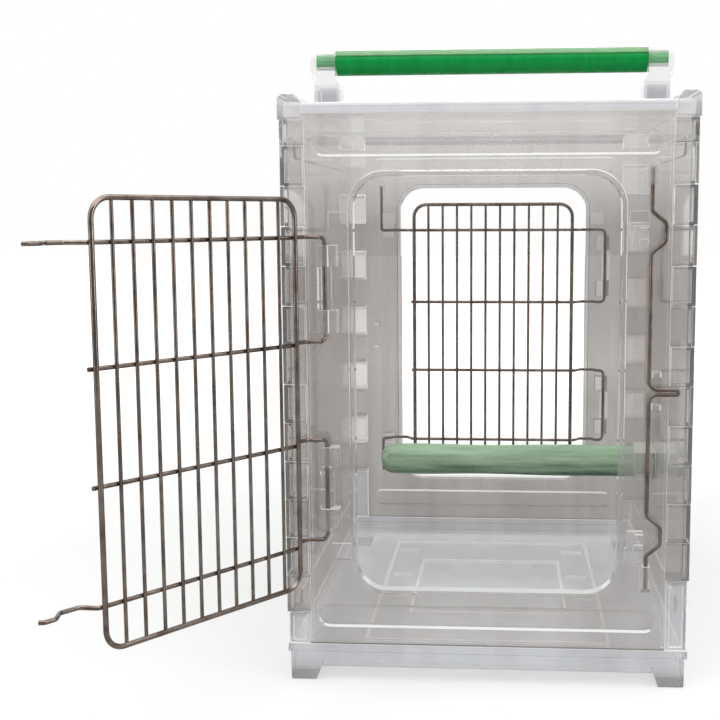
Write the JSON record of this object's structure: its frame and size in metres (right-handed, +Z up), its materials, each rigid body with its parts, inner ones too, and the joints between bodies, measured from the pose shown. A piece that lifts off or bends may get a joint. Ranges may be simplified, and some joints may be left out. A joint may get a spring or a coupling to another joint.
{
  "type": "bird travel carrier",
  "caption": "Clear box carrier for a small parrot: wire door that swings open, latch rod, back grille, perch, footed tray and carrying handle.",
  "frame": {"origin": "on the ground, under the middle of the box", "axes": "+Z up, -Y out of the front doorway, +X to the right as seen from the front"},
  "size_m": [0.3521, 0.5084, 0.4223],
  "materials": {
    "clear_panel": "clear polycarbonate, glossy, finely scuffed",
    "clear_base": "clear polycarbonate, slightly cooler where it is thick",
    "clear_handle": "clear polycarbonate",
    "grip_green": "moulded green plastic",
    "wire_steel": "drawn stainless wire",
    "perch_mint": "sandy mint green coat",
    "screw_steel": "plated steel"
  },
  "bodies": {
    "shell": {"base_tray": "clear_base", "front_panel": "clear_panel", "back_panel": "clear_panel", "left_side_panel": "clear_panel", "right_side_panel": "clear_panel", "roof_panel": "clear_panel", "handle_post_left": "clear_handle", "handle_post_right": "clear_handle", "handle_strap": "clear_handle", "handle_grip": "grip_green", "perch": "perch_mint", "perch_socket": "clear_panel", "perch_screw": "screw_steel", "perch_screw_washer": "screw_steel"},
    "front_door": {"front_door_frame": "wire_steel", "front_door_bar_1": "wire_steel", "front_door_bar_2": "wire_steel", "front_door_bar_3": "wire_steel", "front_door_bar_4": "wire_steel", "front_door_bar_5": "wire_steel", "front_door_bar_6": "wire_steel", "front_door_bar_7": "wire_steel", "front_door_bar_8": "wire_steel", "front_door_bar_9": "wire_steel", "front_door_bar_10": "wire_steel", "front_door_upper_hinge_wire": "wire_steel", "front_door_lower_hinge_wire": "wire_steel"},
    "latch_rod": {"latch_rod": "wire_steel"},
    "back_grille": {"back_grille_frame": "wire_steel", "back_grille_bar_1": "wire_steel", "back_grille_bar_2": "wire_steel", "back_grille_bar_3": "wire_steel", "back_grille_bar_4": "wire_steel", "back_grille_bar_5": "wire_steel", "back_grille_bar_6": "wire_steel", "back_grille_bar_7": "wire_steel", "back_grille_bar_8": "wire_steel", "back_grille_bar_9": "wire_steel", "back_grille_bar_10": "wire_steel", "back_grille_upper_hinge_wire": "wire_steel", "back_grille_lower_hinge_wire": "wire_steel"}
  },
  "joints": [
    {"name": "front_door_hinge", "type": "hinge", "parent": "shell", "child": "front_door", "pos_m": [-0.0992, -0.168, 0.1905], "axis": [0, 0, -1], "range_deg": [-126, 34]},
    {"name": "latch_rod_turn", "type": "hinge", "parent": "shell", "child": "latch_rod", "pos_m": [0.0992, -0.168, 0.1905], "axis": [0, 0, -1], "range_deg": [0, 130]},
    {"name": "back_grille_hinge", "type": "hinge", "parent": "shell", "child": "back_grille", "pos_m": [0.0992, 0.168, 0.1905], "axis": [0, 0, -1], "range_deg": [0, 160]}
  ]
}
